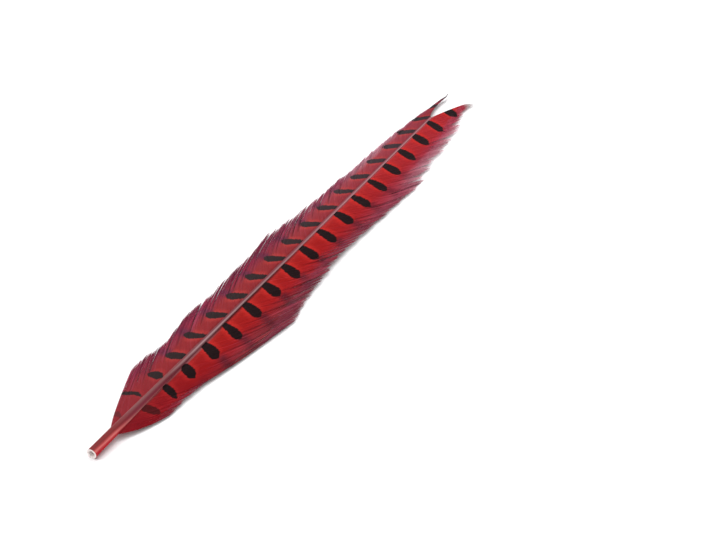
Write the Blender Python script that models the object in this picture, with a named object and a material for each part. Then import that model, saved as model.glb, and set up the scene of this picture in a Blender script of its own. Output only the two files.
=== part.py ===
"""A cock pheasant's barred side tail feather, dyed red, cut at both ends of its shaft.

The feather lies on its underside with the glossy side up: the quill's cut end and both
margins of the vanes touch the surface, and the shaft arches a little between them.
+Y runs along the shaft from the quill to the tip, +Z is up, and the origin is the middle
of the feather's footprint. Vanes and shaft grew as one piece, so they are one solid.
"""

import math

import bmesh
import bpy
import numpy as np

MM = 0.001

# Driving dimensions. "Place" is the distance along the shaft from the quill's cut end.
OVERALL_LENGTH = 200 * MM
SHAFT_LENGTH = 182 * MM
SHAFT_X = -1.65 * MM         # the quill's cut end, from the middle of the footprint
SHAFT_STUB = 0.5 * MM        # the cut top of the shaft stands this far out of the fork
ARCH = 2.6 * MM              # how far the shaft's middle rises above its ends
SIDE_SWEEP = 1.6 * MM        # how far the shaft's middle bows to the right
QUILL_BORE_RADIUS = 0.85 * MM
QUILL_BORE_DEPTH = 5 * MM
VANE_START = 7.5 * MM        # place of the first barbs
VANE_THICKNESS = 0.5 * MM
MARGIN_HEIGHT = 0.33 * MM    # the middle of the vane's thickness, where it meets the surface
VANE_ARCH_POWER = 1.6        # above 1 the vane leaves the shaft level and droops outwards

# Each vane is 30 locks of barbs. A lock is three strips wide, and reaches the margin with
# its middle, so that the edge is ragged like the real one.
LOCKS_PER_VANE = 30
STRIPS_PER_LOCK = 3
NOTCH_DEPTHS = (2.6 * MM, 0.3 * MM, 0.9 * MM)
NOTCH_SINK = 0.12 * MM       # the seam between two locks lies this far below their middles
POINTS_PER_BARB = 7

# (place, value) pairs in mm, read by straight lines between them.
SHAFT_RADIUS = ((0, 1.40), (10, 1.30), (22, 1.02), (31, 0.84), (42, 0.66), (62, 0.50),
                (95, 0.42), (135, 0.36), (182, 0.30))

# The outline of each vane: how far its barb tips reach from the shaft, at their own place.
RIGHT_MARGIN = ((29, 7.4), (38, 8.4), (46, 10.1), (55, 12.4), (64, 13.9), (72, 14.2),
                (78, 12.9), (86, 11.7), (97, 10.7), (110, 10.5), (124, 11.4), (136, 12.4),
                (148, 13.7), (153, 12.4), (159, 11.2), (169, 11.0), (175, 10.4), (182, 10.3),
                (188, 9.4), (193, 8.3), (198, 8.6))
LEFT_MARGIN = ((34, 11.6), (38, 11.7), (43, 10.2), (47, 9.3), (52, 11.0), (58, 12.5),
               (65, 12.5), (70, 11.1), (77, 12.5), (92, 12.9), (96, 13.0), (100, 14.1),
               (105, 13.4), (112, 12.2), (120, 10.7), (132, 9.9), (138, 10.0), (141, 8.0),
               (152, 7.7), (161, 7.0), (169, 6.6), (179, 5.2), (186, 4.2), (189, 3.4),
               (193, 3.0), (200, 2.9))

# The line on each side where the drooping vane comes down to the surface.
RIGHT_FALL = ((0, 3.0), (20, 7.2), (45, 11.0), (66, 14.2), (90, 12.6), (110, 12.0),
              (147, 13.4), (170, 11.4), (188, 9.8), (200, 9.0))
LEFT_FALL = ((0, 3.0), (18, 7.2), (33, 11.6), (60, 12.6), (100, 13.4), (130, 10.8),
             (150, 8.6), (175, 6.4), (188, 4.6), (200, 4.0))

# Angles between barb and shaft, in degrees, at the barb's root and where its bend ends.
# At the fork the left ones curl in over the shaft's line, and the right ones outwards.
RIGHT_ROOT_ANGLE = ((7, 44), (120, 45), (150, 38), (168, 28), (182, 18))
RIGHT_END_ANGLE = ((7, 1), (30, 8), (130, 9), (155, 14), (182, 34))
LEFT_ROOT_ANGLE = ((7, 31), (25, 42), (120, 44), (150, 37), (182, 26))
LEFT_END_ANGLE = ((7, 16), (30, 12), (120, 9), (160, 3), (182, -18))
BEND_LENGTH = 14 * MM        # along the barb, to about two thirds of its bend
LONGEST_BARB = 45 * MM

RIGHT = {"way": 1, "margin": RIGHT_MARGIN, "fall": RIGHT_FALL,
         "root_angle": RIGHT_ROOT_ANGLE, "end_angle": RIGHT_END_ANGLE}
LEFT = {"way": -1, "margin": LEFT_MARGIN, "fall": LEFT_FALL,
        "root_angle": LEFT_ROOT_ANGLE, "end_angle": LEFT_END_ANGLE}


def between(pairs, place):
    """The value at a place, both in metres, from (place, value) pairs in mm."""
    places, values = zip(*pairs)
    return float(np.interp(place / MM, places, values)) * MM


def angle_between(pairs, place):
    """The angle at a place, in radians, from (place in mm, degrees) pairs."""
    places, values = zip(*pairs)
    return math.radians(float(np.interp(place / MM, places, values)))


def arch_share(place):
    """0 at both ends of the shaft and 1 at its middle."""
    share = min(max(place / SHAFT_LENGTH, 0), 1)
    return 4 * share * (1 - share)


def shaft_x(place):
    """Sideways place of the shaft's axis."""
    return SHAFT_X + SIDE_SWEEP * arch_share(place)


def shaft_z(place):
    """Height of the shaft's axis: the quill's cut end rests on the surface."""
    return between(SHAFT_RADIUS, 0) + ARCH * arch_share(place)


def vane_z(side, place, out):
    """Height of the vane's middle, at a place and a distance out from the shaft."""
    share = min(out / between(side["fall"], place), 1)
    fall = shaft_z(place) - MARGIN_HEIGHT
    return shaft_z(place) - fall * share**VANE_ARCH_POWER


def barb_path(side, root, trim):
    """(place, out) points along a barb, from its root on the shaft to the vane's margin,
    less a trim at its tip."""
    step = 0.1 * MM
    start = angle_between(side["root_angle"], root)
    end = angle_between(side["end_angle"], root)
    place, out, path = root, 0.0, [(root, 0.0)]
    for number in range(round(LONGEST_BARB / step)):
        if out >= between(side["margin"], place) or place >= OVERALL_LENGTH:
            break
        angle = end + (start - end) * math.exp(-number * step / BEND_LENGTH)
        place += step * math.cos(angle)
        out += step * math.sin(angle)
        path.append((place, out))
    kept = path[: len(path) - round(trim / step)]
    picks = np.linspace(0, len(kept) - 1, POINTS_PER_BARB + 1).round().astype(int)
    return [kept[pick] for pick in picks]


def barb_points(side, root, in_lock):
    """The barb's points in space. in_lock counts strips from the seam between two locks."""
    points = []
    path = barb_path(side, root, NOTCH_DEPTHS[in_lock])
    for number, (place, out) in enumerate(path):
        sink = NOTCH_SINK * number / POINTS_PER_BARB if in_lock == 0 else 0
        x = shaft_x(place) + side["way"] * out
        points.append((x, place - OVERALL_LENGTH / 2, vane_z(side, place, out) - sink))
    return points


def vane_sheet():
    """Both vanes as one sheet: a grid whose rows follow the barbs and whose middle column
    follows the shaft."""
    rows = LOCKS_PER_VANE * STRIPS_PER_LOCK
    columns = 2 * POINTS_PER_BARB
    shape = bmesh.new()
    bmesh.ops.create_grid(shape, x_segments=columns, y_segments=rows, size=0.5)
    lines = []
    for row in range(rows + 1):
        root = VANE_START + (SHAFT_LENGTH - VANE_START) * row / rows
        in_lock = row % STRIPS_PER_LOCK if 0 < row < rows else 1
        left = barb_points(LEFT, root, in_lock)
        right = barb_points(RIGHT, root, in_lock)
        lines.append(left[:0:-1] + right)
    for vertex in shape.verts:
        column = round((vertex.co.x + 0.5) * columns)
        row = round((vertex.co.y + 0.5) * rows)
        vertex.co = lines[row][column]
    mesh = bpy.data.meshes.new("feather")
    shape.to_mesh(mesh)
    shape.free()
    return mesh


def shaft_mesh():
    """The quill and shaft: a ring drawn out station by station, thinner towards the tip,
    and hollow at the quill's cut end."""
    stations = [0, 4, 9, 15, 22, 30, 38, 47, 57, 68, 80, 93, 107, 122, 137, 152, 167]
    places = [place * MM for place in stations] + [SHAFT_LENGTH + SHAFT_STUB]
    shape = bmesh.new()
    ring = bmesh.ops.create_circle(shape, cap_ends=True, segments=12, radius=1)["verts"]
    cap = ring[0].link_faces[0]
    for vertex in ring:
        vertex.co = ring_point(vertex.co.x, vertex.co.y, places[0])
    end = cap
    for place in places[1:]:
        grown = bmesh.ops.extrude_face_region(shape, geom=[end])["geom"]
        old = end
        end = next(item for item in grown if isinstance(item, bmesh.types.BMFace))
        if place != places[1]:
            shape.faces.remove(old)
        move_ring(end, place)
    bmesh.ops.recalc_face_normals(shape, faces=shape.faces)
    hollow_out(shape)
    mesh = bpy.data.meshes.new("shaft")
    shape.to_mesh(mesh)
    shape.free()
    return mesh


def ring_point(across, up, place):
    """A point of the shaft's ring, from its place on a circle of radius 1."""
    radius = between(SHAFT_RADIUS, place)
    return (
        shaft_x(place) + across * radius,
        place - OVERALL_LENGTH / 2,
        shaft_z(place) + up * radius,
    )


def move_ring(face, place):
    """Moves a ring, by its own shape, to a place on the shaft."""
    middle = face.calc_center_median()
    radius = max((vertex.co - middle).length for vertex in face.verts)
    for vertex in face.verts:
        offset = (vertex.co - middle) / radius
        vertex.co = ring_point(offset.x, offset.z, place)


def hollow_out(shape):
    """Bores the quill out at its cut end."""
    cut = min(shape.faces, key=lambda face: face.calc_center_median().y)
    wall = between(SHAFT_RADIUS, 0) - QUILL_BORE_RADIUS
    bmesh.ops.inset_region(shape, faces=[cut], thickness=wall)
    floor = bmesh.ops.extrude_face_region(shape, geom=[cut])["geom"]
    shape.faces.remove(cut)
    corners = [item for item in floor if isinstance(item, bmesh.types.BMVert)]
    bmesh.ops.translate(shape, verts=corners, vec=(0, QUILL_BORE_DEPTH, 0))


def dyed_feather():
    """Dyed keratin: a soft sheen on saturated red."""
    material = bpy.data.materials.new("dyed feather")
    material.use_nodes = True
    shader = material.node_tree.nodes["Principled BSDF"]
    shader.inputs["Base Color"].default_value = (0.62, 0.03, 0.04, 1)
    shader.inputs["Roughness"].default_value = 0.5
    shader.inputs["Metallic"].default_value = 0
    return material


def feather():
    """The vane sheet gets its thickness, and grows together with the shaft."""
    shaft = bpy.data.objects.new("shaft", shaft_mesh())
    shaft.hide_render = True
    shaft.display_type = "WIRE"
    body = bpy.data.objects.new("feather", vane_sheet())
    body.data.materials.append(dyed_feather())
    for item in (shaft, body):
        bpy.context.scene.collection.objects.link(item)
    thickness = body.modifiers.new("thickness", "SOLIDIFY")
    thickness.thickness = VANE_THICKNESS
    thickness.offset = 0
    grown = body.modifiers.new("grown together", "BOOLEAN")
    grown.operation = "UNION"
    grown.object = shaft
    return body


for thing in list(bpy.data.objects):
    bpy.data.objects.remove(thing)
feather()
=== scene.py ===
import math

import bpy
import numpy as np
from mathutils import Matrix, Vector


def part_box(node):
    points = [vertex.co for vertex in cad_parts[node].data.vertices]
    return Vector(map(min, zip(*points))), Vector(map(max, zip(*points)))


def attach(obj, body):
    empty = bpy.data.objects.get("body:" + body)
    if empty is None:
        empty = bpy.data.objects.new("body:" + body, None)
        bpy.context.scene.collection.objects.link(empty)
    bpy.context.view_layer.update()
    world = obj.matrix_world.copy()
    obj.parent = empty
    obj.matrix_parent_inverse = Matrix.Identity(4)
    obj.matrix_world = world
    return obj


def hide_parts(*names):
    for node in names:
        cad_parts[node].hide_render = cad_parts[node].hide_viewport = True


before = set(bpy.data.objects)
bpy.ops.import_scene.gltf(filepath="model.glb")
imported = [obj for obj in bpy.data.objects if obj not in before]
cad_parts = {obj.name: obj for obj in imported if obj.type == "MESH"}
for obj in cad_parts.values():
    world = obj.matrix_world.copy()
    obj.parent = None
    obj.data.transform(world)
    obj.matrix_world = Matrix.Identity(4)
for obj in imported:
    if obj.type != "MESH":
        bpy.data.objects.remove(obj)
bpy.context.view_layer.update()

# ----------------------------------------
# Quill and shaft. One tapering tube of keratin: the quill is round and hollow where it was
# cut, and above the first barbs the shaft grows thinner, squarer and filled with pith.
# The dye took red on the quill's right flank and mauve on its left and top, and painted
# highlight lines and painted shade run along it.
# ----------------------------------------
MM = 0.001
FEATHER_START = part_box("feather")[0].y  # the quill's cut end
OVERALL_LENGTH = 200 * MM
SHAFT_LENGTH = 182.5 * MM
SHAFT_X = -1.65 * MM  # of the cut end, from the middle of the footprint
ARCH = 2.6 * MM  # how far the shaft's middle rises above its ends
ARCH_LENGTH = 182 * MM
SIDE_SWEEP = 1.6 * MM  # how far the shaft's middle bows to the right
SHAFT_SIDES = 24
SHAFT_STEP = 3 * MM  # between two rings
QUILL_BORE_RADIUS = 0.9 * MM
QUILL_BORE_DEPTH = 5 * MM
QUILL_LIP = 0.12 * MM  # the cut's inner edge is broken this deep
LIP_TAPER = 0.97  # and narrows by this much
FURROW_DEPTH = 0.22  # of the shaft's radius, along its underside
FURROW_REACH = 0.4  # of the radius, to each side
FURROW_FROM = 10 * MM
SQUARENESS = 0.10  # how much further its corners stand out than its sides
SQUARE_FROM = 16 * MM  # up to here it is round, and at twice this it is square
SHARP_EDGE = 40  # degrees, and more than this shows as an edge

# (place, value) pairs in mm, where "place" is the distance along the shaft from the cut.
SHAFT_RADIUS = ((0, 1.40), (10, 1.30), (22, 1.02), (31, 0.84), (42, 0.67), (62, 0.53),
                (95, 0.46), (135, 0.41), (182, 0.34))
SHAFT_WAVE = ((60, 0.0), (105, 0.17))  # further to the right


def at(pairs, place):
    """Values at places along the shaft, from (place in mm, value) pairs."""
    places, values = zip(*pairs)
    return np.interp(np.asarray(place) / MM, places, values)


def along(pairs, place):
    """The same, from values in mm to metres."""
    return at(pairs, place) * MM


def arch_share(place):
    """0 at both ends of the shaft and 1 at its middle."""
    share = np.clip(np.asarray(place) / ARCH_LENGTH, 0, 1)
    return 4 * share * (1 - share)


def shaft_x(place):
    """Sideways place of the shaft's axis."""
    return SHAFT_X + SIDE_SWEEP * arch_share(place) + along(SHAFT_WAVE, place)


def shaft_z(place):
    """Height of the shaft's axis: the quill's cut end rests on the surface."""
    return along(SHAFT_RADIUS, 0) + ARCH * arch_share(place)


def shaft_point(place):
    """The middle of the shaft."""
    return np.array([shaft_x(place), FEATHER_START + place, shaft_z(place)])


def select(parts, wanted):
    """Leaves edit mode's selection at the vertices or faces that a test picks."""
    bpy.ops.mesh.select_all(action="DESELECT")
    bpy.ops.object.mode_set(mode="OBJECT")
    for part in parts:
        part.select = wanted(part)
    bpy.ops.object.mode_set(mode="EDIT")


def at_origin(piece, name):
    """Names a finished piece, and keeps its place in its mesh."""
    bpy.ops.object.mode_set(mode="OBJECT")
    bpy.ops.object.transform_apply(location=True, rotation=True, scale=True)
    piece.name = piece.data.name = name


# The cut end's ring is drawn out step by step to the shaft's top.
bpy.ops.object.select_all(action="DESELECT")
bpy.ops.mesh.primitive_circle_add(
    vertices=SHAFT_SIDES, radius=along(SHAFT_RADIUS, 0), fill_type="NGON",
    location=shaft_point(0), rotation=(math.pi / 2, 0, 0))
shaft = bpy.context.object
bpy.ops.object.mode_set(mode="EDIT")
bpy.ops.mesh.select_all(action="SELECT")
places = np.linspace(0, SHAFT_LENGTH, round(SHAFT_LENGTH / SHAFT_STEP) + 1)
for before, after in zip(places, places[1:]):
    bpy.ops.mesh.extrude_region_move(
        TRANSFORM_OT_translate={"value": shaft_point(after) - shaft_point(before)})
    thinner = along(SHAFT_RADIUS, after) / along(SHAFT_RADIUS, before)
    bpy.ops.transform.resize(value=(thinner,) * 3, center_override=shaft_point(after))
at_origin(shaft, "shaft")

# The quill is bored out at its cut end.
bpy.ops.object.mode_set(mode="EDIT")
bpy.ops.mesh.select_all(action="SELECT")
bpy.ops.mesh.normals_make_consistent(inside=False)
bpy.ops.mesh.select_mode(type="FACE")
select(shaft.data.polygons, lambda face: face.normal.y < -0.9 and len(face.vertices) > 4)
bpy.ops.mesh.inset(thickness=along(SHAFT_RADIUS, 0) - QUILL_BORE_RADIUS)
bpy.ops.mesh.extrude_region_move(TRANSFORM_OT_translate={"value": (0, QUILL_LIP, 0)})
bpy.ops.transform.resize(value=(LIP_TAPER,) * 3, center_override=shaft_point(0))
bpy.ops.mesh.extrude_region_move(
    TRANSFORM_OT_translate={"value": (0, QUILL_BORE_DEPTH, 0)})
bpy.ops.object.mode_set(mode="OBJECT")

# Above the quill the section grows squarer, and a furrow runs along the underside.
for vertex in shaft.data.vertices:
    place = vertex.co.y - FEATHER_START
    across = vertex.co.x - shaft_x(place)
    up = vertex.co.z - shaft_z(place)
    radius = along(SHAFT_RADIUS, place)
    turned = math.atan2(up, across)
    swell = SQUARENESS * np.clip((place - SQUARE_FROM) / SQUARE_FROM, 0, 1)
    swell *= 0.5 - 0.5 * math.cos(4 * turned)
    vertex.co.x += across * swell
    vertex.co.z += up * swell
    in_furrow = across / (FURROW_REACH * radius)
    if place > FURROW_FROM and up < 0 and abs(in_furrow) < 1:
        vertex.co.z += FURROW_DEPTH * radius * (1 - in_furrow**2)
bpy.ops.object.shade_smooth_by_angle(angle=math.radians(SHARP_EDGE))

# Its UV map says how far along each spot lies, and how far round.
round_layer = shaft.data.uv_layers.new(name="round")
for corner in shaft.data.loops:
    point = shaft.data.vertices[corner.vertex_index].co
    place = point.y - FEATHER_START
    turned = math.atan2(point.z - shaft_z(place), point.x - shaft_x(place))
    round_layer.uv[corner.index].vector = (place / OVERALL_LENGTH, 0.5 + turned / math.tau)


def linear(hex_colour):
    """An sRGB hex colour as the linear colour that shaders take."""
    parts = [int(hex_colour[start:start + 2], 16) / 255 for start in (1, 3, 5)]
    return tuple(part / 12.92 if part <= 0.04045 else ((part + 0.055) / 1.055) ** 2.4
                 for part in parts) + (1,)


def node(tree, kind, *inputs, output=None, stops=(), **settings):
    """Adds a node. Its inputs in use are linked or set in order, or by name where a name
    has a capital, and its other settings by name. A ramp takes (position, hex colour or
    grey) stops. Gives the named output, or else the first one in use."""
    new = tree.nodes.new("ShaderNode" + kind)
    named = []
    for name, value in settings.items():
        if name[0].isupper():
            named.append((new.inputs[name], value))
        else:
            setattr(new, name, value)
    in_use = [socket for socket in new.inputs if socket.enabled]
    for socket, value in [*zip(in_use, inputs), *named]:
        if isinstance(value, bpy.types.NodeSocket):
            tree.links.new(value, socket)
        else:
            socket.default_value = value
    for _ in stops[2:]:
        new.color_ramp.elements.new(1)
    for number, (position, colour) in enumerate(stops):
        element = new.color_ramp.elements[number]
        element.position = position
        is_hex = isinstance(colour, str)
        element.color = linear(colour) if is_hex else (colour, colour, colour, 1)
    if output:
        return new.outputs[output]
    return next(socket for socket in new.outputs if socket.enabled)


def new_material(name, **sockets):
    """A material with one shader, whose plain values are set on its own sockets."""
    material = bpy.data.materials.new(name)
    material.use_nodes = True
    shader = material.node_tree.nodes["Principled BSDF"]
    for socket, value in sockets.items():
        shader.inputs[socket.replace("_", " ")].default_value = value
    return material, material.node_tree, shader


# Dyed keratin, polished by the bird: a hard, slightly waxy gloss over colour that follows
# the fibres, which show as lines 0.1 mm apart and a few millimetres long.
FIBRES_ALONG = 36  # on the feather's length
FIBRES_ROUND = 70  # round the shaft
FIBRE_SPREAD = 0.09  # of the way round: some fibres have taken a dye further
FIBRE_RELIEF = 0.04 * MM
dyed_shaft, shaft_tree, shaft_shader = new_material(
    "dyed shaft keratin", Roughness=0.42, IOR=1.54, Specular_IOR_Level=0.10)
round_map = node(shaft_tree, "UVMap", uv_map="round")
how_far, how_round = node(shaft_tree, "SeparateXYZ", round_map).node.outputs[:2]
fibre_map = node(shaft_tree, "Mapping", round_map, Scale=(FIBRES_ALONG, FIBRES_ROUND, 1))
fibres = node(shaft_tree, "TexNoise", fibre_map, Scale=1.0, Detail=4.0, Roughness=0.65)

# Two pale lines run along it, at a share of the way round. On the quill its line is partly
# where least dye took and partly a painted highlight, and runs up the right flank and dies
# out. The shaft's own is partly a paler tone of the dye and partly a painted highlight,
# and crosses from the left over the top.
quill_highlight_line = node(shaft_tree, "ValToRGB", how_far, stops=(
    (0.0, 0.605), (0.04, 0.575), (0.065, 0.54), (0.10, 0.47)))
shaft_highlight_line = node(shaft_tree, "ValToRGB", how_far, stops=(
    (0.07, 0.80), (0.14, 0.76), (0.185, 0.69), (0.30, 0.645), (0.475, 0.60)))

# For each stretch: its line, and the colours round the shaft from it, with 0.5 on it. The
# colours are partly the dye's own, and partly a painted highlight on the line and painted
# shade on the flank turned from the light.
stretches = (
    (quill_highlight_line, (
        (0.28, "#A8081C"), (0.36, "#AE061A"), (0.42, "#B40A1E"), (0.455, "#BA202C"),
        (0.49, "#D66E6A"), (0.525, "#D46A68"), (0.56, "#A43E3E"), (0.60, "#782224"),
        (0.70, "#741A1C"), (0.85, "#7A2026"))),
    (shaft_highlight_line, (
        (0.14, "#B07476"), (0.23, "#B06866"), (0.30, "#84303E"), (0.36, "#702632"),
        (0.42, "#6C3036"), (0.49, "#744648"), (0.56, "#783E3E"), (0.64, "#7A3236"),
        (0.80, "#7C2830"))),
    (shaft_highlight_line, (
        (0.26, "#8A6068"), (0.33, "#804C54"), (0.40, "#84585C"), (0.45, "#9A7678"),
        (0.50, "#A48688"), (0.55, "#805458"), (0.60, "#6C343A"), (0.68, "#6C2830"),
        (0.85, "#6C2028"))),
    (shaft_highlight_line, (
        (0.26, "#B46068"), (0.34, "#C88086"), (0.42, "#C8949A"), (0.50, "#C28C90"),
        (0.56, "#A46C72"), (0.62, "#7C424A"), (0.70, "#6E2A34"), (0.80, "#702830"))),
)
# The places between which each stretch but the first takes over from the one before.
takes_over = ((8 * MM, 18 * MM), (32 * MM, 48 * MM), (70 * MM, 125 * MM))
frayed_edge = node(shaft_tree, "Math", fibres, FIBRE_SPREAD, 0.5 - FIBRE_SPREAD / 2,
                   operation="MULTIPLY_ADD")
stretch_colours = []
for line, stops in stretches:
    from_line = node(shaft_tree, "Math", how_round, line, operation="SUBTRACT")
    from_line = node(shaft_tree, "Math", from_line, frayed_edge, operation="ADD")
    stretch_colours.append(node(shaft_tree, "ValToRGB", from_line, stops=stops))
shaft_colour = stretch_colours[0]
for (first, last), next_colour in zip(takes_over, stretch_colours[1:]):
    share = node(shaft_tree, "MapRange", how_far, first / OVERALL_LENGTH,
                 last / OVERALL_LENGTH)
    shaft_colour = node(shaft_tree, "Mix", share, shaft_colour, next_colour,
                        data_type="RGBA")
fibre_tone = node(shaft_tree, "ValToRGB", fibres, stops=((0.34, 0.80), (0.52, 1.0)))
shaft_colour = node(shaft_tree, "Mix", 1.0, shaft_colour, fibre_tone,
                    data_type="RGBA", blend_type="MULTIPLY")
shaft_tree.links.new(shaft_colour, shaft_shader.inputs["Base Color"])
fibre_bump = node(shaft_tree, "Bump", Height=fibres, Strength=0.5, Distance=FIBRE_RELIEF)
shaft_tree.links.new(fibre_bump, shaft_shader.inputs["Normal"])
shaft.data.materials.append(dyed_shaft)

# Undyed pith and the quill's dry inner skin show where it was cut: matt and chalky, with
# grains of about 0.4 mm.
GRAINS_PER_METRE = 2500.0
cut_pith, pith_tree, pith_shader = new_material("cut quill pith", Roughness=0.85)
chalk = node(pith_tree, "TexNoise", node(pith_tree, "TexCoord", output="Object"),
             Scale=GRAINS_PER_METRE, Detail=3.0)
pith_colour = node(pith_tree, "ValToRGB", chalk,
                   stops=((0.35, "#D9C9C6"), (0.65, "#F4EEEA")))
pith_tree.links.new(pith_colour, pith_shader.inputs["Base Color"])
shaft.data.materials.append(cut_pith)
PITH_REACH = 1.2 * MM  # from the axis: the cut rim is within it, the dyed skin is not
for face in shaft.data.polygons:
    place = face.center.y - FEATHER_START
    from_axis = math.hypot(face.center.x - shaft_x(place), face.center.z - shaft_z(place))
    is_inner = place < QUILL_BORE_DEPTH * 1.1 and from_axis < PITH_REACH
    face.material_index = 1 if is_inner else 0

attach(shaft, "root")
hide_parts("feather")

# ----------------------------------------
# Vanes. Several hundred keratin barbs grow from each side of the shaft, each a thin ridge
# that its barbules hook to the next, and part into locks with loose tips at the margins.
# The dye lies over the bird's own black bars, the panels between and a dull outer zone.
# ----------------------------------------
BARB_PITCH = 0.36 * MM  # between barbs, along the shaft
BARB_RINGS = 11  # steps along a barb
BARB_TIP = 0.3  # of a barb's width is left at its tip
RIDGE_HEIGHT = 0.055 * MM  # a barb's ridge at its root, over the web
RIDGE_FALL = 0.6  # of the ridge is gone at the tip
RIDGE_SHARE = 0.2  # of a barb's width is its ridge
WEB_OVERLAP = 1.5  # how much wider a barb's web is than its share of the vane
WEB_WIDTHS = (0.05 * MM, 0.5 * MM)  # least and most
HAIR_WIDTH = 0.048 * MM  # half the width of a barb without its web
SHINGLE_TILT = 0.06  # each web's edge lies over the next barb
LOWEST_BARB = 0.08 * MM  # height over the surface
VANE_START = 7.5 * MM  # place of the first barbs
MARGIN_HEIGHT = 0.33 * MM  # of the drooping vane, where it meets the surface
VANE_ARCH_POWER = 1.6  # above 1 the vane leaves the shaft level and droops outwards
BEND_LENGTH = 14 * MM  # along the barb, to about two thirds of its bend
HOOK_LENGTH = 7 * MM  # along the barb, while it takes its last turn
LONGEST_BARB = 50 * MM
SHORTEST_BARB = 2 * MM
PATH_STEP = 0.1 * MM
TABLE_ROWS = 600
BARBS_IN_LOCK = (8, 22)
BARBS_IN_TUFT = (3, 8)
# Trims are shares of a side's "ragged": more at a bunch's edge, up to so much by chance,
# and less for all, so that some barbs end up longer.
LOCK_EDGE_TRIM, TUFT_EDGE_TRIM, LESS_TRIM = 0.40, 0.25, 0.33
BARB_TRIM, TUFT_TRIM, LOCK_TRIM = 0.22, 0.32, 0.30
LOCK_LEAN, TUFT_LEAN = 0.12, 0.34  # of the way to the bunch's middle
POINTED = (0.86, 1.02)  # shares of the vane's width where tufts grow to a point
BARB_SHIFT, STRAY_SHIFT = 0.20 * MM, 1.2 * MM  # along the shaft
STRAY_SHARE = 0.05  # of the barbs leave their lock
STRAY_LIFTS = (0.05, 0.35)  # mm
LOCK_LIFT, TUFT_LIFT, BARB_LIFT = 0.09 * MM, 0.06 * MM, 0.03 * MM
UNEVENNESS = 0.006 * MM  # of all barbs, up and down
RIDGES = (0.8, 1.25)  # of the ridge's height
BAR_JITTER = 0.009  # of the way from bar to bar
LOCK_TINT, TUFT_TINT, BARB_TINT = 0.12, 0.16, 0.10
# Tufts are darkened at their edges: painted shade where they part.
TUFT_EDGE_SHADE = -0.25  # which is darker
SPLIT_REACH = 2.5 * MM  # on each side of a split
CREASE_WIDTH = 0.40 * MM
CREASE_DEPTH = 0.16 * MM
FULLY_LOOSE = 0.20  # of the vane's width after its barbs begin to come loose

# Each side, with places along the shaft and widths in mm, angles in degrees and the rest
# in shares:
# margin   how far the barbs' tips reach out, at their own place
# furthest   the last place that a barb from this root reaches
# fall   the line where the drooping vane comes down to the surface
# root_angle, end_angle   between barb and shaft, at the barb's root and past its bend
# hook, hook_from   how much it turns again, and how far along the barb that begins
# frayed   all barbs come loose between these places
# bars, lean   where each bar crosses the shaft, and how far it leans back to the quill
# bend_out, past_bend   out from here a bar keeps only this share of its lean
# loose_from   of the vane's width, where barbs begin to come loose
# gather_from, gathering   of the width, where they gather in locks, and how much
# ragged, creased   how unevenly barbs end, how deep the creases between locks are and how much painted shade they take
# splits   the wide gaps: root, share of the width where it opens, width at the margin
# fluff   how long the free barbules are
# seed   of all that differs by chance
RIGHT = {
    "way": 1,
    "margin": ((29, 7.4), (38, 8.4), (46, 10.1), (55, 12.4), (64, 13.9), (72, 14.2),
        (78, 12.9), (86, 11.7), (97, 10.7), (110, 10.5), (124, 11.4), (136, 12.4),
        (148, 13.7), (153, 12.4), (159, 11.4), (169, 11.2), (175, 10.8), (182, 10.4),
        (184.5, 9.6), (187, 8.8), (190, 7.9), (193, 7.3), (196, 7.4), (198, 8.5),
        (200, 10.0), (202, 13)),
    "furthest": ((0, 200),),
    "fall": ((0, 3.0), (20, 7.2), (45, 11.0), (66, 14.2), (90, 12.6), (110, 12.0),
        (147, 13.4), (170, 11.4), (188, 9.8), (200, 9.0)),
    "root_angle": ((7, 44), (120, 45), (150, 38), (168, 28), (182, 18)),
    "end_angle": ((7, 1), (30, 8), (90, 10), (112, 15), (130, 17), (155, 17), (172, 26),
        (182, 27)),
    "hook": ((177, 0), (182, 62)), "hook_from": 13.5 * MM,
    "frayed": (194.5, 200.0),
    "bars": (19.4, 29.4, 37.9, 47.6, 57.1, 67.2, 77.3, 87.2, 97.2, 107.0, 117.3, 127.6,
        138.0, 148.2, 158.5, 169.1, 179.5, 190.0),
    "lean": ((18, -25), (23, -5), (28, 18), (38, 20), (48, 15), (68, 13), (88, 9),
        (128, 4), (150, 9), (170, 14), (180, 18)),
    "bend_out": 20.0 * MM, "past_bend": 0.2,
    "loose_from": ((100, 0.99), (118, 0.95), (126, 0.86), (138, 0.78), (160, 0.66),
        (176, 0.76), (182, 0.95)),
    "gather_from": 0.50,
    "gathering": ((8, 0.6), (30, 1.0), (160, 1.0), (172, 0.5), (182, 0.1)),
    "ragged": ((8, 0.6), (20, 1.2), (45, 2.6), (80, 3.0), (115, 3.2), (135, 4.6),
        (160, 5.5), (174, 3.0), (182, 0.5)),
    "creased": ((8, 0.2), (40, 0.6), (75, 0.6), (95, 1.0), (118, 1.0), (135, 0.25),
        (182, 0.0)),
    "splits": ((131.5, 0.66, 1.3), (61.0, 0.84, 0.5), (108.0, 0.84, 0.5)),
    "fluff": ((8, 0.4), (90, 0.6), (130, 1.0)),
    "seed": 11,
}
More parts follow.
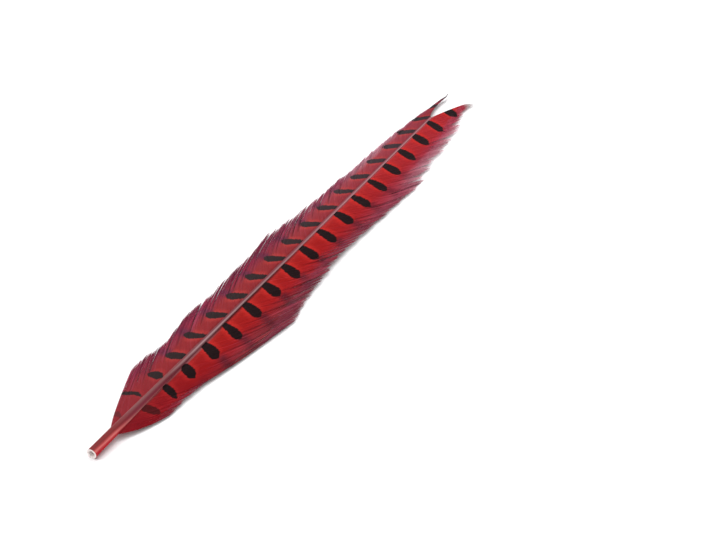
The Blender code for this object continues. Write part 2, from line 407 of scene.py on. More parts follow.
LEFT = {
    "way": -1,
    "margin": ((40, 12.2), (43, 11.2), (47, 10.5), (52, 11.8), (58, 12.9), (65, 13.1),
        (70, 11.8), (77, 12.5), (92, 12.9), (96, 13.0), (100, 14.0), (105, 13.4),
        (112, 12.2), (120, 10.9), (132, 10.1), (138, 10.1), (142, 8.8), (152, 8.6),
        (161, 7.8), (169, 7.2), (179, 5.6), (186, 4.3), (189, 3.6), (192, 3.25),
        (194, 2.95), (196, 2.55), (197.5, 2.4), (198.5, 2.8), (200, 4.6)),
    "furthest": ((174, 192), (176, 194.5), (178.5, 197), (180, 198), (181.5, 200)),
    "fall": ((0, 3.0), (18, 7.2), (33, 11.6), (60, 12.6), (100, 13.4), (130, 10.8),
        (150, 8.6), (175, 6.4), (188, 4.6), (200, 4.0)),
    "root_angle": ((7, 34), (25, 44), (120, 44), (150, 37), (170, 31), (177, 28),
        (182, 24)),
    "end_angle": ((7, 19), (30, 14), (60, 11), (120, 9), (160, 3), (170, -6), (177, -16),
        (182, -24)),
    "hook": ((179.5, 0), (182, 46)), "hook_from": 13.0 * MM,
    "frayed": (193.0, 199.0),
    "bars": (13.5, 22.3, 31.2, 41.0, 50.7, 60.8, 70.4, 80.5, 90.3, 99.8, 110.1, 120.1,
        130.5, 140.1, 150.8, 161.2, 171.8, 182.5, 191.8),
    "lean": ((20, -24), (31, -8), (41, 12), (50, 20), (160, 20), (172, 24), (184, 38)),
    "bend_out": 4.0 * MM, "past_bend": -0.5,
    "loose_from": ((50, 0.99), (100, 0.97), (140, 0.86), (162, 0.84), (174, 0.97)),
    "gather_from": 0.45,
    "gathering": ((8, 0.8), (90, 1.0), (120, 0.7), (150, 0.5), (162, 0.4), (172, 0.0)),
    "ragged": ((8, 0.6), (28, 1.4), (45, 2.6), (80, 3.2), (105, 2.5), (125, 1.4),
        (160, 2.4), (168, 1.2), (174, 0.4), (182, 0.6)),
    "creased": ((8, 0.3), (30, 1.0), (110, 1.0), (135, 0.4), (182, 0.0)),
    "splits": ((46.0, 0.88, 0.3), (62.0, 0.88, 0.3), (79.0, 0.84, 0.5),
        (106.0, 0.78, 0.8)),
    "fluff": ((8, 0.4), (100, 0.5), (145, 0.85), (165, 0.85), (182, 0.5)),
    "seed": 5,
}
barb_roots = np.arange(VANE_START, ARCH_LENGTH, BARB_PITCH)


def vane_z(side, place, out):
    """Height of the vane at a place and a distance out from the shaft."""
    share = np.clip(out / along(side["fall"], place), 0, 1)
    fall = shaft_z(place) - MARGIN_HEIGHT
    return shaft_z(place) - fall * share**VANE_ARCH_POWER


def smooth(low, high, value):
    """Rises from 0 to 1 between two values, level at both."""
    share = np.clip((value - low) / (high - low), 0, 1)
    return share * share * (3 - 2 * share)


def barb_table(side):
    """Barbs from TABLE_ROWS roots: place, out and heading at every PATH_STEP, how far the
    next barb of the vane lies beside, and each one's length to the margin."""
    roots = np.linspace(VANE_START, ARCH_LENGTH, TABLE_ROWS)
    steps = np.arange(round(LONGEST_BARB / PATH_STEP)) * PATH_STEP
    start, end, hook = [np.radians(at(side[angles], roots))[:, None]
                        for angles in ("root_angle", "end_angle", "hook")]
    angle = (end + (start - end) * np.exp(-steps / BEND_LENGTH)
             + hook * smooth(0, HOOK_LENGTH, steps - side["hook_from"]))
    place = roots[:, None] + np.cumsum(np.cos(angle), 1) * PATH_STEP
    out = np.cumsum(np.sin(angle), 1) * PATH_STEP
    furthest = along(side["furthest"], roots)[:, None]
    past = (out >= along(side["margin"], place)) | (place >= furthest)
    past[:, -1] = True
    apart = roots[1] - roots[0]
    beside = (np.gradient(place, axis=0) * np.sin(angle)
              - np.gradient(out, axis=0) * np.cos(angle)) / apart * BARB_PITCH
    return {"roots": roots, "place": place, "out": out, "angle": angle,
            "widest": np.maximum.accumulate(out, 1), "beside": np.abs(beside),
            "length": past.argmax(1) * PATH_STEP}


def read_table(table, name, roots, travelled):
    """Values between a table's rows and columns, for roots and lengths travelled."""
    values = table[name]
    rows = np.interp(roots, table["roots"], np.arange(TABLE_ROWS))
    rows = np.minimum(rows, values.shape[0] - 1.001)
    columns = np.minimum(travelled / PATH_STEP, values.shape[1] - 1.001)
    row, column = rows.astype(int), columns.astype(int)
    down, right = rows - row, columns - column
    top = values[row, column] * (1 - right) + values[row, column + 1] * right
    bottom = values[row + 1, column] * (1 - right) + values[row + 1, column + 1] * right
    return top * (1 - down) + bottom * down


def gathered(fewest, most, random):
    """Parts the barbs of one side into bunches of random sizes. Gives for each barb its
    bunch's number and middle, how near it is to the bunch's edge (0 in the middle and 1
    there), and how far it is from the edge."""
    numbers = []
    while len(numbers) < len(barb_roots):
        numbers += [len(set(numbers))] * random.integers(fewest, most + 1)
    numbers = np.array(numbers[:len(barb_roots)])
    first = np.array([barb_roots[numbers == number].min() for number in numbers])
    last = np.array([barb_roots[numbers == number].max() for number in numbers])
    middle = (first + last) / 2
    nearness = np.abs(barb_roots - middle) / np.maximum((last - first) / 2, BARB_PITCH)
    return numbers, middle, nearness, np.minimum(barb_roots - first, last - barb_roots)


def by_chance(random, spread, numbers):
    """A column for the barbs, with one random value for all that share a number."""
    return random.normal(0, spread, numbers.max() + 1)[numbers][:, None]


def grow_barbs(side):
    """Where every ring of every barb on one side lies, its size, and its markings."""
    random = np.random.default_rng(side["seed"])
    table = barb_table(side)
    count = len(barb_roots)
    each = np.arange(count)
    roots = barb_roots[:, None]
    share = np.linspace(0, 1, BARB_RINGS + 1)[None, :]

    # A lock is a bunch of barbs that lie together, and a tuft a few barbs at its edge.
    # They end unevenly: shorter at a bunch's edges, and each bunch and barb by chance.
    lock, lock_middle, lock_edge, to_edge = gathered(*BARBS_IN_LOCK, random)
    tuft, tuft_middle, tuft_edge, _ = gathered(*BARBS_IN_TUFT, random)
    full = np.interp(barb_roots, table["roots"], table["length"])
    ragged = at(side["ragged"], barb_roots) * MM
    trim = ragged * (LOCK_EDGE_TRIM * lock_edge**2 + TUFT_EDGE_TRIM * tuft_edge**2
                     + BARB_TRIM * random.random(count) ** 2
                     + TUFT_TRIM * random.random(tuft.max() + 1)[tuft]
                     + LOCK_TRIM * random.random(lock.max() + 1)[lock] - LESS_TRIM)
    length = np.maximum(full - trim, SHORTEST_BARB)
    travelled = share * length[:, None]
    grown_place, grown_out = [read_table(table, name, roots, travelled)
                              for name in ("place", "out")]
    widest = read_table(table, "widest", barb_roots, full)[:, None]
    spread = np.clip(np.maximum.accumulate(grown_out / widest, 1), 0, 1.15)

    # Outwards, barbs lean to the middle of their lock and their tuft, and a few stray.
    loose_from = at(side["loose_from"], roots)
    looseness = smooth(loose_from, loose_from + FULLY_LOOSE, spread)
    looseness = np.maximum(looseness, smooth(*side["frayed"], grown_place / MM))
    gathering = at(side["gathering"], roots)
    gather = smooth(side["gather_from"], 1.0, spread) * gathering
    pointed = smooth(*POINTED, spread) * gathering
    shift = (LOCK_LEAN * gather * (lock_middle[:, None] - roots)
             + TUFT_LEAN * pointed * (tuft_middle[:, None] - roots)
             + by_chance(random, BARB_SHIFT, each) * gather)
    strays = random.random(count) < STRAY_SHARE
    stray_way = np.where(strays, random.normal(0, STRAY_SHIFT, count), 0)[:, None]
    stray_lift = np.where(strays, random.uniform(*STRAY_LIFTS, count) * MM, 0)[:, None]
    shift = shift + stray_way * smooth(0.5, 1.0, spread) * gathering
    for split, opens_at, gap in side["splits"]:
        away = roots - split * MM
        pull = np.exp(-np.abs(away) / SPLIT_REACH) * gap * MM
        shift = shift + np.sign(away) * pull * smooth(opens_at, 1.0, spread)
    place, out, angle, beside = [read_table(table, name, roots + shift, travelled)
                                 for name in ("place", "out", "angle", "beside")]

    # A crease opens here and there between two locks: its barbs sink, and the vane's
    # material paints shade along it. Locks, tufts and barbs also lie a little higher or
    # lower than the next.
    open_creases = random.uniform(0, 1, lock.max() + 1)[lock] ** 0.7
    crease_shade = (np.exp(-(to_edge / CREASE_WIDTH) ** 2) * open_creases)[:, None]
    crease_shade = crease_shade * at(side["creased"], roots) * smooth(
        side["gather_from"] - 0.08, side["gather_from"] + 0.1, spread)
    lift = (by_chance(random, LOCK_LIFT, lock) + by_chance(random, TUFT_LIFT, tuft)
            + by_chance(random, BARB_LIFT, each) + stray_lift) * gather
    height = (vane_z(side, place, out) + lift + by_chance(random, UNEVENNESS, each)
              - CREASE_DEPTH * crease_shade)
    centre = np.stack([shaft_x(place) + side["way"] * out, FEATHER_START + place,
                       np.maximum(height, LOWEST_BARB)], -1)

    # Each ring stands across the barb, on the vane's slope.
    slope = (vane_z(side, place, out + PATH_STEP) - vane_z(side, place, out)) / PATH_STEP
    level, upright = np.zeros_like(angle), np.ones_like(angle)
    ahead = np.stack([side["way"] * np.sin(angle), np.cos(angle), level], -1)
    upward = np.stack([-side["way"] * slope, level, upright], -1)
    upward /= np.linalg.norm(upward, axis=-1, keepdims=True)
    across = np.cross(ahead, upward)
    across /= np.linalg.norm(across, axis=-1, keepdims=True)
    across = across + side["way"] * SHINGLE_TILT * upward
    web = 0.5 * WEB_OVERLAP * np.clip(beside, *WEB_WIDTHS)
    width = web * (1 - looseness) + np.minimum(HAIR_WIDTH, web) * looseness
    ridge = RIDGE_HEIGHT * (1 - RIDGE_FALL * share)
    ridge = ridge * random.uniform(*RIDGES, count)[:, None]

    # Markings stay where they grew. Bars are numbered from the quill, and two unseen ones
    # at each end keep their spacing there.
    bars = np.array(side["bars"])
    numbered = np.concatenate([[bars[0] - 20, bars[0] - 10], bars,
                               [bars[-1] + 10, bars[-1] + 20]]) * MM
    lean = np.tan(np.radians(at(side["lean"], grown_place)))
    leaning_out = (np.minimum(grown_out, side["bend_out"])
                   + side["past_bend"] * np.maximum(grown_out - side["bend_out"], 0))
    bar_number = np.interp(grown_place + lean * leaning_out, numbered,
                           np.arange(len(numbered)) - 2)
    bar_number = bar_number + by_chance(random, BAR_JITTER, each)
    # Tone differs by chance between barbs, tufts and locks, and painted shade darkens
    # tufts at their edges.
    tint = (0.5 + by_chance(random, BARB_TINT, each)
            + by_chance(random, TUFT_TINT, tuft) * gather
            + by_chance(random, LOCK_TINT, lock) * gather
            + TUFT_EDGE_SHADE * gather * tuft_edge[:, None] ** 2)
    along_barb, barb_row = np.broadcast_arrays(share, (each[:, None] + 0.5) / count)
    return {
        "centre": centre, "across": across * width[..., None],
        "up": upward * ridge[..., None], "ahead": ahead, "upward": upward,
        "marks": np.stack([bar_number, grown_out / MM], -1),
        "barbs": np.stack([along_barb, barb_row], -1),
        "tint": np.clip(tint, 0, 1), "looseness": looseness,
        "crease_shade": np.clip(crease_shade, 0, 1), "length": length,
    }


# The pattern for a barb: a rod with one unit to a step, flat below, with a web to each
# side and a narrow ridge on top.
bpy.ops.object.select_all(action="DESELECT")
bpy.ops.mesh.primitive_circle_add(vertices=5, radius=1, fill_type="NGON",
                                  rotation=(math.pi / 2, 0, 0))
barb = bpy.context.object
bpy.ops.object.transform_apply(location=True, rotation=True, scale=True)
bpy.ops.object.mode_set(mode="EDIT")
bpy.ops.mesh.select_mode(type="VERT")
select(barb.data.vertices, lambda vertex: 0 < vertex.co.z < 0.9)
bpy.ops.transform.resize(value=(RIDGE_SHARE, 1, 1), center_override=(0, 0, 0))
bpy.ops.transform.translate(value=(0, 0, -0.75))
bpy.ops.mesh.select_all(action="SELECT")
for ring in range(BARB_RINGS):
    bpy.ops.mesh.extrude_region_move(TRANSFORM_OT_translate={"value": (0, 1, 0)})
bpy.ops.transform.resize(value=(BARB_TIP,) * 3, center_override=(0, BARB_RINGS, -0.8))
bpy.ops.mesh.select_all(action="SELECT")
bpy.ops.mesh.normals_make_consistent(inside=False)
bpy.ops.mesh.faces_shade_smooth()
bpy.ops.mesh.select_mode(type="FACE")
select(barb.data.polygons, lambda face: face.normal.z < -0.9 or len(face.vertices) > 4)
bpy.ops.mesh.faces_shade_flat()
at_origin(barb, "barb")


def copies_joined(name, pattern, grown):
    """One mesh of many copies of a pattern, each laid along its own line. The pattern's
    whole numbers along Y are the line's points."""
    shape = pattern.data
    spots = np.array([vertex.co for vertex in shape.vertices])
    ring = spots[:, 1].round().astype(int)
    low, high = spots[:, 2].min(), spots[:, 2].max()
    beside = (spots[:, 0] / np.abs(spots[:, 0]).max())[None, :, None]
    above = ((spots[:, 2] - low) / (high - low))[None, :, None]
    points = (grown["centre"][:, ring] + beside * grown["across"][:, ring]
              + above * grown["up"][:, ring])
    count, each = points.shape[:2]
    corners = np.concatenate([np.array(face.vertices) for face in shape.polygons])
    sizes = np.tile([len(face.vertices) for face in shape.polygons], count)
    all_corners = (corners[None, :] + each * np.arange(count)[:, None]).ravel()
    mesh = bpy.data.meshes.new(name)
    mesh.vertices.add(count * each)
    mesh.vertices.foreach_set("co", points.ravel())
    mesh.loops.add(len(all_corners))
    mesh.loops.foreach_set("vertex_index", all_corners)
    mesh.polygons.add(len(sizes))
    mesh.polygons.foreach_set("loop_start", np.cumsum(sizes) - sizes)
    mesh.update(calc_edges=True)
    rounded = np.tile([face.use_smooth for face in shape.polygons], count)
    mesh.polygons.foreach_set("use_smooth", rounded)

    # The map named OFBake gives every barb a row of its own, with a little room between
    # rows.
    rows = grown["barbs"][:, ring]
    baked = rows.copy()
    baked[..., 1] += 0.45 * beside[..., 0] / len(barb_roots)
    maps = {"marks": grown["marks"][:, ring], "barbs": rows, "OFBake": baked}
    for layer_name, values in maps.items():
        layer = mesh.uv_layers.new(name=layer_name)
        layer.uv.foreach_set("vector", values.reshape(-1, 2)[all_corners].ravel())
    fields = {field: grown[field][:, ring] for field in ("tint", "looseness", "crease_shade")}
    fields["ridge"] = np.broadcast_to(above[..., 0], (count, each))
    for field, values in fields.items():
        attribute = mesh.attributes.new(field, "FLOAT", "POINT")
        attribute.data.foreach_set("value", values.ravel())
    piece = bpy.data.objects.new(name, mesh)
    bpy.context.scene.collection.objects.link(piece)
    return piece


right_grown = grow_barbs(RIGHT)
left_grown = grow_barbs(LEFT)
right_vane = copies_joined("right_vane", barb, right_grown)
left_vane = copies_joined("left_vane", barb, left_grown)
bpy.data.objects.remove(barb)

BAR_SPACING = 10.0  # mm, nearly even
UPPER_HALF = (8.0, 15.0)  # between these bars a look changes to its upper colours
FIRST_BARS = (3.2, 1.8)  # and between these the bars grow shorter
LOWEST_BAR = (1.9, 1.1)
WIDEST = 16.0  # mm, a ramp's full length, and more than any barb reaches out
THICKEST_HALF = 2.0  # mm, half a bar's thickness where a look says 1
EDGE_WANDER = 0.96  # mm, in and out
BAR_WANDER = 0.04  # of the way from bar to bar
OWN_LENGTH = 0.8  # mm, by which bars differ
OWN_THICKNESS = 0.18  # of a bar's thickness, by which they differ
TRACE_AHEAD = 0.08  # of the way from bar to bar, towards the tip


# Dyed barbs of keratin. They are as glossy as the shaft, but so fine and so many that the
# light scatters on them, and the vane has only a soft, dull sheen.
def vane_material(name, look):
    """Dyed barbs of one vane. Their colour goes by how far along the vane they grew,
    counted in bars, and how far out from the shaft in mm, in layers over each other."""
    material, tree, shader = new_material(name, Roughness=0.55, IOR=1.54,
                                          Specular_IOR_Level=0.08)
    marks_map = node(tree, "UVMap", uv_map="marks")
    barbs_map = node(tree, "UVMap", uv_map="barbs")
    bar_number, grown_out = node(tree, "SeparateXYZ", marks_map).node.outputs[:2]

    # Nothing has a ruled edge: distances and bars wander by some tenths of a millimetre.
    wander = node(tree, "Mapping", marks_map, Scale=(3.0, 0.875, 1))
    wander = node(tree, "TexNoise", wander, Scale=1.0, Detail=3.0, Roughness=0.6)
    wander = node(tree, "Math", wander, 0.5, operation="SUBTRACT")
    out = node(tree, "Math", wander, EDGE_WANDER, grown_out, operation="MULTIPLY_ADD")
    phase = node(tree, "Math", wander, BAR_WANDER, bar_number, operation="MULTIPLY_ADD")
    phase = node(tree, "Math", phase, look["bar_shift"], operation="ADD")

    # Each bar has its own length and thickness, and the first ones are shorter and stand
    # clear of the shaft.
    whole = node(tree, "Math", bar_number, operation="ROUND")
    own = node(tree, "TexWhiteNoise", whole, noise_dimensions="1D")
    own = node(tree, "Math", own, 0.5, operation="SUBTRACT")
    upper = node(tree, "MapRange", bar_number, *UPPER_HALF)
    first_bars = node(tree, "MapRange", whole, *FIRST_BARS)
    lowest = node(tree, "MapRange", whole, *LOWEST_BAR)
    bar_out = out
    for share, shorter in ((own, OWN_LENGTH), (first_bars, look["shorter"]),
                           (lowest, -look["lowest_longer"])):
        bar_out = node(tree, "Math", share, shorter, bar_out, operation="MULTIPLY_ADD")
    clear_out = node(tree, "Math", first_bars, -look["clear"], out,
                     operation="MULTIPLY_ADD")

    # A ramp for each table of the look that goes by distance.
    ramps = {}
    for table in ("bar_half", "upper_bar_half", "ground", "upper_ground", "flanks",
                  "traces", "streaks", "thin"):
        reach = node(tree, "Math", bar_out if "bar" in table else out, WIDEST,
                     operation="DIVIDE")
        stops = [(distance / WIDEST, value) for distance, value in look[table]]
        ramps[table] = node(tree, "ValToRGB", reach, stops=stops)

    half = node(tree, "Mix", upper, ramps["bar_half"], ramps["upper_bar_half"],
                data_type="RGBA")
    for factor in (
            THICKEST_HALF,
            node(tree, "MapRange", lowest, 0.0, 1.0, 1.0, look["lowest_thinner"]),
            node(tree, "Math", own, OWN_THICKNESS, 1.0, operation="MULTIPLY_ADD"),
            node(tree, "MapRange", clear_out, -0.9, 0.4)):
        half = node(tree, "Math", half, factor, operation="MULTIPLY")
    beyond = node(tree, "Math", phase, 0.5, operation="PINGPONG")
    beyond = node(tree, "Math", beyond, BAR_SPACING, operation="MULTIPLY")
    beyond = node(tree, "Math", beyond, half, operation="SUBTRACT")
    trace = node(tree, "Math", phase, TRACE_AHEAD, operation="SUBTRACT")
    trace = node(tree, "Math", trace, 0.5, operation="PINGPONG")
    first, last = look["bars_shown"]

    # Barbs differ a little, and each varies along its length.
    streak = node(tree, "Mapping", barbs_map, Scale=(5, 240, 1))
    streak = node(tree, "TexNoise", streak, Scale=1.0, Detail=3.0, Roughness=0.7)
    streak = node(tree, "Math", streak, 0.3, operation="MULTIPLY")
    tint, looseness, crease_shade, ridge = [
        node(tree, "Attribute", attribute_name=field, output="Fac")
        for field in ("tint", "looseness", "crease_shade", "ridge")]
    streak = node(tree, "Math", tint, 0.7, streak, operation="MULTIPLY_ADD")

    # The layers over the ground, from the lowest to the topmost: the name of a colour in
    # the look, and shares that are multiplied. A share may be a range: what it goes by,
    # where it is none, where it is full, and its values there if these aren't 0 and 1.
    layers = (
        # The panels are brighter along the bars' edges, have painted shade beside the
        # thick part of the shaft, are pale at the roots further up, and worn near the
        # quill.
        ("flank", ramps["flanks"], (beyond, 1.9, 0.5)),
        ("crease_shade", (grown_out, 1.35, 0.8), (bar_number, 9, 6, 0, look["shaft_shade"])),
        ("root", (grown_out, 0.9, 0.6), (bar_number, 7, 10, 0, look["pale_roots"])),
        ("worn", (grown_out, 1.4, 1.1), (bar_number, 4, 2.5, 0, look["worn_share"]),
         (bar_number, -0.5, 0.5)),
        # The lowest barbs have one even colour.
        ("base", (bar_number, 3.4, look["base_until"], 0, 0.9)),
        # A dusky trace carries each bar on to the margin, a little towards the tip.
        ("trace", ramps["traces"], (trace, 0.24, 0.05), (bar_number, 10, 15, 1, 0.35),
         (bar_number, 1.8, 2.8)),
        # Single barbs are darker or paler, most of all outwards, and loose tips are dull.
        ("dark_streak", ramps["streaks"], (streak, 0.46, 0.15)),
        ("pale_streak", ramps["streaks"], (streak, 0.54, 0.85)),
        ("tips", looseness, look["tips_share"]),
        # Near the tip the web grows thin at the margin, and the light that comes through
        # it is painted as a pale colour.
        ("painted_light_through", ramps["thin"], (bar_number, *look["thin_from"]),
         (streak, 0.30, 0.62, 0.35, 1)),
        # The bars fade out where they would be too thin, and past the last one.
        ("bar", (beyond, 0.10, -0.14), (half, 0.05, 0.35), (whole, first - 1, first),
         (whole, first, first + 1, look["first_bar"], 1), (whole, last, last + 1, 1, 0)),
        # Creases get a dark painted shade, and the outermost tip is of another colour.
        ("crease_shade", crease_shade, 0.6),
        ("very_tip", (bar_number, *look["very_tip_from"])),
    )
    colour = node(tree, "Mix", upper, ramps["ground"], ramps["upper_ground"],
                  data_type="RGBA")
    for layer, *shares in layers:
        layer_colour = linear(look[layer])
        if "upper_" + layer in look:
            layer_colour = node(tree, "Mix", upper, layer_colour,
                                linear(look["upper_" + layer]), data_type="RGBA")
        covered = 1.0
        for share in shares:
            if isinstance(share, tuple):
                share = node(tree, "MapRange", *share)
            covered = node(tree, "Math", share, covered, operation="MULTIPLY")
        colour = node(tree, "Mix", covered, colour, layer_colour, data_type="RGBA")

    # Between two ridges the web lies in their shade.
    shade = node(tree, "MapRange", ridge, 0.0, 0.6, 0.93, 1.03)
    colour = node(tree, "Mix", 1.0, colour, shade, data_type="RGBA",
                  blend_type="MULTIPLY")
    tree.links.new(colour, shader.inputs["Base Color"])

    # Barbules cross each barb about 0.12 mm apart here, coarser than real so as to show.
    barbules = node(tree, "Mapping", barbs_map, Scale=(36, 40, 1))
    barbules = node(tree, "TexWave", barbules, Scale=1.0, Distortion=2.0, Detail=2.0,
                    bands_direction="DIAGONAL", output=1)
    bump = node(tree, "Bump", Height=barbules, Strength=0.15, Distance=0.04 * MM)
    tree.links.new(bump, shader.inputs["Normal"])
    return material


# Each vane's look. Tables go by distance out from the shaft in mm, and "upper" is for the
# half of the feather towards its tip.
# bar_half   half the bars' thickness, as a share of THICKEST_HALF
# clear, shorter   how far the lowest bars stand clear of the shaft and end sooner, in mm
# lowest_longer, lowest_thinner   how the lowest bar of all differs, in mm and as a share
# bar_shift   of the way from bar to bar, by which they lie further towards the quill
# bars_shown, first_bar   the first and last bar's number, and how dark the first one is
# ground, flank, flanks   the panels' colour, and their brighter edges' colour and share
# root, worn, base, trace, thin   the other layers, with colours, shares and bar numbers
right_look = {
    "bar_half": ((0.0, 0.42), (0.8, 0.56), (1.6, 0.70), (3.0, 0.84), (5.0, 0.92),
        (5.9, 0.80), (6.5, 0.45), (7.0, 0.0)),
    "upper_bar_half": ((0.0, 0.45), (0.8, 0.60), (1.6, 0.74), (3.0, 0.84), (4.8, 0.88),
        (5.8, 0.72), (6.5, 0.42), (7.1, 0.0)),
    "clear": 1.1, "shorter": 1.3, "lowest_longer": 0.0, "lowest_thinner": 0.9,
    "bar_shift": 0.0, "bars_shown": (0, 17), "first_bar": 0.75,
    "bar": "#1E0B0E", "upper_bar": "#241518",
    "ground": ((0, "#B22D2A"), (2.5, "#A81714"), (6, "#A81618"), (7.5, "#A01C22"),
        (9.5, "#9C323A"), (11, "#98383E"), (14, "#943C46")),
    "upper_ground": ((0, "#B22A2E"), (3, "#AD242B"), (6, "#A8242D"), (7.5, "#AA3040"),
        (9, "#AC3C50"), (11, "#B05468"), (13, "#B86A7E")),
    "flank": "#CC2A24", "flanks": ((0, 0.8), (3.5, 0.7), (5.5, 0.35), (7, 0.0)),
    "shaft_shade": 0.75, "crease_shade": "#300A12",
    "root": "#A8525A", "pale_roots": 0.6,
    "worn": "#A8686C", "worn_share": 0.85,
    "base": "#820A1C", "base_until": -1.2,
    "trace": "#521C2A", "traces": ((5.8, 0), (7.0, 0.7), (10, 0.55), (13, 0.1)),
    "streaks": ((0, 0.12), (5.5, 0.20), (7.5, 0.7), (13, 1.0)),
    "dark_streak": "#4E1430", "pale_streak": "#C84E68",
    "tips": "#8C3A50", "upper_tips": "#B85068", "tips_share": 0.6,
    "thin": ((7.6, 0), (8.6, 0.2), (9.6, 0.5), (10.6, 0.8), (12, 0.9)),
    "painted_light_through": "#E2B6C2", "thin_from": (12.3, 14.2),
    "very_tip": "#B8AAA8", "very_tip_from": (17.60, 17.85),
}
# The left vane's duller, greyer colours are partly its own and partly a painted sheen, for
# its barbs turned away from the light.
left_look = {
    "bar_half": ((0.0, 0.42), (1.0, 0.52), (2.5, 0.74), (4.4, 0.82), (5.6, 0.74),
        (6.5, 0.50), (7.3, 0.0)),
    "upper_bar_half": ((0.0, 0.56), (1.0, 0.66), (2.5, 0.80), (4.2, 0.82), (5.2, 0.70),
        (6.0, 0.42), (6.5, 0.0)),
    "clear": 2.0, "shorter": 0.8, "lowest_longer": 2.2, "lowest_thinner": 0.66,
    "bar_shift": -0.01, "bars_shown": (0, 18), "first_bar": 0.5,
    "bar": "#2A1C1D", "upper_bar": "#36262C",
    "ground": ((0, "#822024"), (3, "#8C2428"), (5.5, "#8C2428"), (7.5, "#862636"),
        (9.5, "#861E3A"), (11, "#7C2038"), (14, "#76263C")),
    "upper_ground": ((0, "#862A36"), (3, "#902E3A"), (5.5, "#9A3C4A"), (8, "#984258"),
        (12, "#94465E")),
    "flank": "#B43834", "flanks": ((0, 0.25), (3, 0.6), (5.0, 0.5), (6.5, 0.0)),
    "shaft_shade": 0.15, "crease_shade": "#2A0A14",
    "root": "#8A3842", "pale_roots": 0.3,
    "worn": "#8C4A50", "worn_share": 0.3,
    "base": "#862028", "base_until": 0.4,
    "trace": "#4C2040", "traces": ((5.2, 0), (6.2, 0.65), (9.5, 0.5), (12, 0.1)),
    "streaks": ((0, 0.15), (4.5, 0.25), (7, 0.7), (12, 0.9)),
    "dark_streak": "#48102E", "pale_streak": "#B85070",
    "tips": "#93304E", "upper_tips": "#A8506A", "tips_share": 0.5,
    "thin": ((4.6, 0), (5.6, 0.25), (6.6, 0.6), (7.6, 0.8), (10, 0.85)),
    "painted_light_through": "#E0B2BE", "thin_from": (12.5, 14.2),
    "very_tip": "#44202C", "very_tip_from": (18.10, 18.60),
}
right_barbs = vane_material("dyed right vane barbs", right_look)
left_barbs = vane_material("dyed left vane barbs", left_look)
for vane, barbs in ((right_vane, right_barbs), (left_vane, left_barbs)):
    vane.data.materials.append(barbs)
    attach(vane, "root")

# ----------------------------------------
# Loose barbules. Past the web, each barb's barbules stand free on both sides of it, and
# make the margins soft, most of all along the right edge near the tip.
# ----------------------------------------
BARBULE_PITCH = 0.14 * MM  # along a barb, on each side of it
BARBULES_FROM = 0.72  # of a barb's length, or from where it is loose
LOOSE_BARB = 0.4  # looseness at its tip that makes a barb count as loose
LOOSE_FROM = 0.35  # looseness where its barbules begin to stand free
BARBULE_WIDTH = 0.014 * MM  # half of it, at the barb
BARBULE_HEIGHT = 1.6  # of that
BARBULE_TURN = (34, 8)  # degrees from the barb, and how much that varies
BARBULE_LENGTHS = (0.5, 1.15)  # of the fluff's length there
TIP_FLUFF = 0.35  # of their length is left at the barb's tip
TIP_LENGTH = 4 * MM  # over which they grow shorter to it
LOWEST_BARBULE = 0.05 * MM  # height over the surface
MOST_BARBULES = 46000  # on one side, so that a piece stays under 200,000 triangles

bpy.ops.object.select_all(action="DESELECT")
bpy.ops.mesh.primitive_cone_add(vertices=3, radius1=1, radius2=0, depth=1,
                                location=(0, 0.5, 0), rotation=(-math.pi / 2, 0, 0))
barbule = bpy.context.object
at_origin(barbule, "barbule")


def at_spots(values, spots):
    """Values along one barb, read between its rings."""
    rings = np.arange(BARB_RINGS + 1)
    if values.ndim == 1:
        return np.interp(spots, rings, values)
    return np.stack([np.interp(spots, rings, column) for column in values.T], 1)


def grow_barbules(side, grown):
    """Lines of two points for the free barbules along the loose part of each barb."""
    random = np.random.default_rng(side["seed"] + 100)
    found = []
    for barb_number, length in enumerate(grown["length"]):
        fields = {field: grown[field][barb_number] for field in (
            "centre", "ahead", "upward", "marks", "barbs", "tint")}
        loose = grown["looseness"][barb_number]
        first = BARBULES_FROM * BARB_RINGS
        if loose[-1] > LOOSE_BARB:
            first = min(first, np.interp(LOOSE_FROM, loose, np.arange(BARB_RINGS + 1)))
        room = (BARB_RINGS - first) / BARB_RINGS * length
        count = max(int(room / BARBULE_PITCH), 1)
        for way in (-1, 1):
            spots = first + (BARB_RINGS - first) * (
                np.arange(count) + random.random(count)) / count
            here = {field: at_spots(values, spots) for field, values in fields.items()}
            base, ahead, upward = here["centre"], here["ahead"], here["upward"]
            beside = np.cross(ahead, upward) * way
            turn = np.radians(random.normal(*BARBULE_TURN, count))[:, None]
            from_tip = (BARB_RINGS - spots) / BARB_RINGS * length
            shorter = TIP_FLUFF + (1 - TIP_FLUFF) * np.clip(from_tip / TIP_LENGTH, 0, 1)
            fluff = along(side["fluff"], barb_roots[barb_number])
            reach = fluff * random.uniform(*BARBULE_LENGTHS, count) * shorter
            heading = (ahead * np.cos(turn) + beside * np.sin(turn)
                       + upward * random.normal(0.05, 0.15, count)[:, None])
            tip = base + heading * reach[:, None]
            tip[:, 2] = np.maximum(tip[:, 2], LOWEST_BARBULE)
            sideways = np.cross(heading, upward)
            sideways /= np.linalg.norm(sideways, axis=1, keepdims=True)
            tint = np.clip(here["tint"] + random.normal(0.05, 0.12, count), 0, 1)
            alike = {
                "across": sideways * BARBULE_WIDTH,
                "up": upward * BARBULE_HEIGHT * BARBULE_WIDTH, "marks": here["marks"],
                "tint": tint, "looseness": np.ones(count), "crease_shade": np.zeros(count)}
            lines = {field: np.stack([values, values], 1)
                     for field, values in alike.items()}
            lines["centre"] = np.stack([base, tip], 1)
            lines["barbs"] = np.stack([here["barbs"], here["barbs"] + (0.02, 0)], 1)
            found.append(lines)
    joined = {field: np.concatenate([lines[field] for lines in found])
              for field in found[0]}
    joined["barbs"] = np.clip(joined["barbs"], 0, 1)
    kept = np.sort(random.permutation(len(joined["centre"]))[:MOST_BARBULES])
    return {field: values[kept] for field, values in joined.items()}


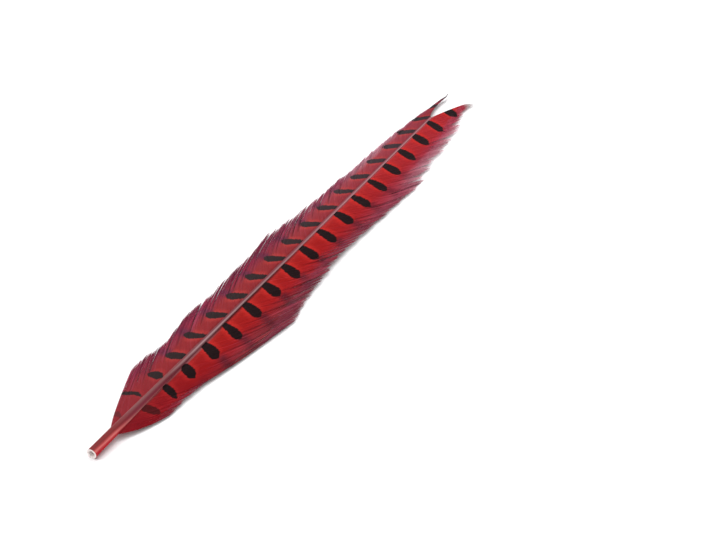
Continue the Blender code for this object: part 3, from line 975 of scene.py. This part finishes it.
right_fringe = copies_joined("right_fringe", barbule, grow_barbules(RIGHT, right_grown))
left_fringe = copies_joined("left_fringe", barbule, grow_barbules(LEFT, left_grown))
bpy.data.objects.remove(barbule)
for fringe, barbs in ((right_fringe, right_barbs), (left_fringe, left_barbs)):
    fringe.data.materials.append(barbs)
    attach(fringe, "root")

# ----------------------------------------
# Studio: a plain pale floor, wide soft light from above, and a camera that looks down on
# the feather from the quill's end.
# ----------------------------------------
FLOOR_SIZE = 4.0
bpy.ops.object.select_all(action="DESELECT")
bpy.ops.mesh.primitive_plane_add(size=FLOOR_SIZE)
floor = bpy.context.object
floor.name = floor.data.name = "floor"
paper, _, paper_shader = new_material("matt white paper", Roughness=0.9)
paper_shader.inputs["Base Color"].default_value = linear("#F6F5F6")
floor.data.materials.append(paper)

SKY_STRENGTH = 0.75
world = bpy.data.worlds.new("studio")
world.use_nodes = True
sky = world.node_tree.nodes["Background"]
sky.inputs["Color"].default_value = linear("#FFFFFF")
sky.inputs["Strength"].default_value = SKY_STRENGTH
bpy.context.scene.world = world


def soft_light(name, light_place, size, power):
    """A square lamp, in metres and watts, that faces the feather's middle."""
    bpy.ops.object.light_add(type="AREA", location=light_place)
    light = bpy.context.object
    light.name = light.data.name = name
    light.data.size = size
    light.data.energy = power
    x, y, z = light_place
    light.rotation_euler = (math.atan2(math.hypot(x, y), z), 0,
                            math.atan2(-y, -x) - math.pi / 2)


soft_light("overhead", (-0.25, 0.35, 0.9), 0.8, 6.0)
soft_light("key", (-0.5, -0.35, 0.55), 0.35, 2.2)

CAMERA_PLACE = (0.20758, -0.34283, 0.28407)
LOOKS_DOWN = 36  # degrees
TURNED = 28.773  # degrees, from the shaft's line
LENS, SENSOR_WIDTH = 85, 36  # mm
bpy.ops.object.camera_add(location=CAMERA_PLACE,
                          rotation=(math.radians(90 - LOOKS_DOWN), 0,
                                    math.radians(TURNED)))
camera = bpy.context.object
camera.data.lens = LENS
camera.data.sensor_width = SENSOR_WIDTH
bpy.context.scene.camera = camera
bpy.context.scene.view_settings.view_transform = "Standard"
